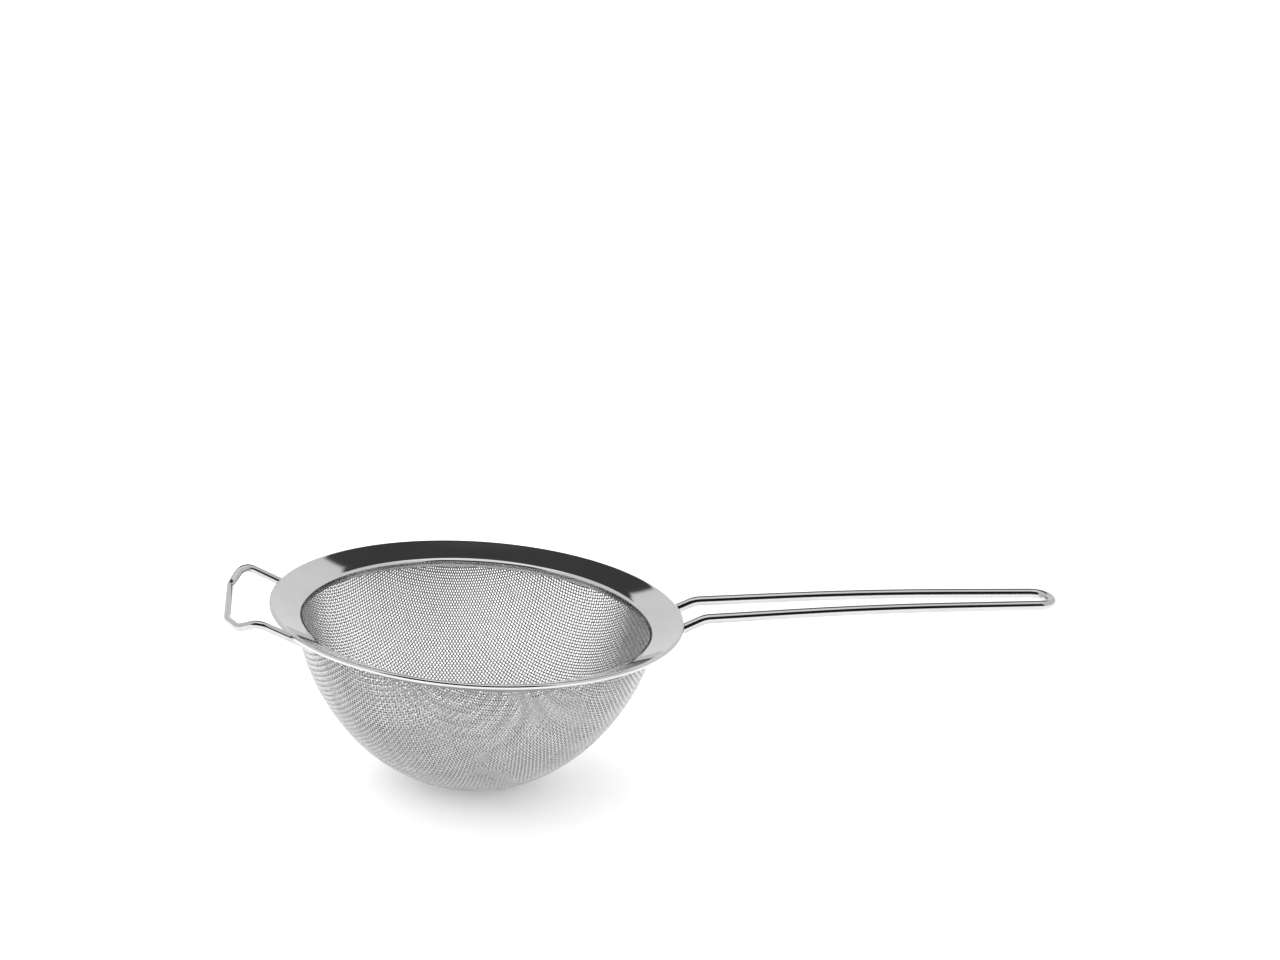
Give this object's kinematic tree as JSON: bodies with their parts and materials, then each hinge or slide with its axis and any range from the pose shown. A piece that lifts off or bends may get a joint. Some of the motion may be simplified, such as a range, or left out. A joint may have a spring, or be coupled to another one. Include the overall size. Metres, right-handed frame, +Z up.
{
  "type": "tea strainer",
  "caption": "Hand-held wire-mesh tea strainer: deep woven bowl in a flared steel rim, with a long bent-wire loop handle and a short wire hook opposite to rest across a cup.",
  "frame": {"origin": "lowest outer point of the bowl, on the bowl's axis", "axes": "+Z up along the bowl's axis, +X along the handle, seen from above the hook is on -X"},
  "size_m": [0.1657, 0.08, 0.0398],
  "materials": {
    "rim_steel": "pressed stainless sheet, polished",
    "mesh_steel": "plain-woven fine stainless wire cloth",
    "wire_steel": "polished stainless round wire",
    "weld_steel": "small resistance-weld spots, dull"
  },
  "bodies": {
    "root": {"rim_ring": "rim_steel", "mesh_bowl": "mesh_steel", "clamp_ring": "rim_steel", "handle_loop": "wire_steel", "rest_hook": "wire_steel", "handle_welds": "weld_steel", "hook_welds": "weld_steel"}
  },
  "joints": []
}
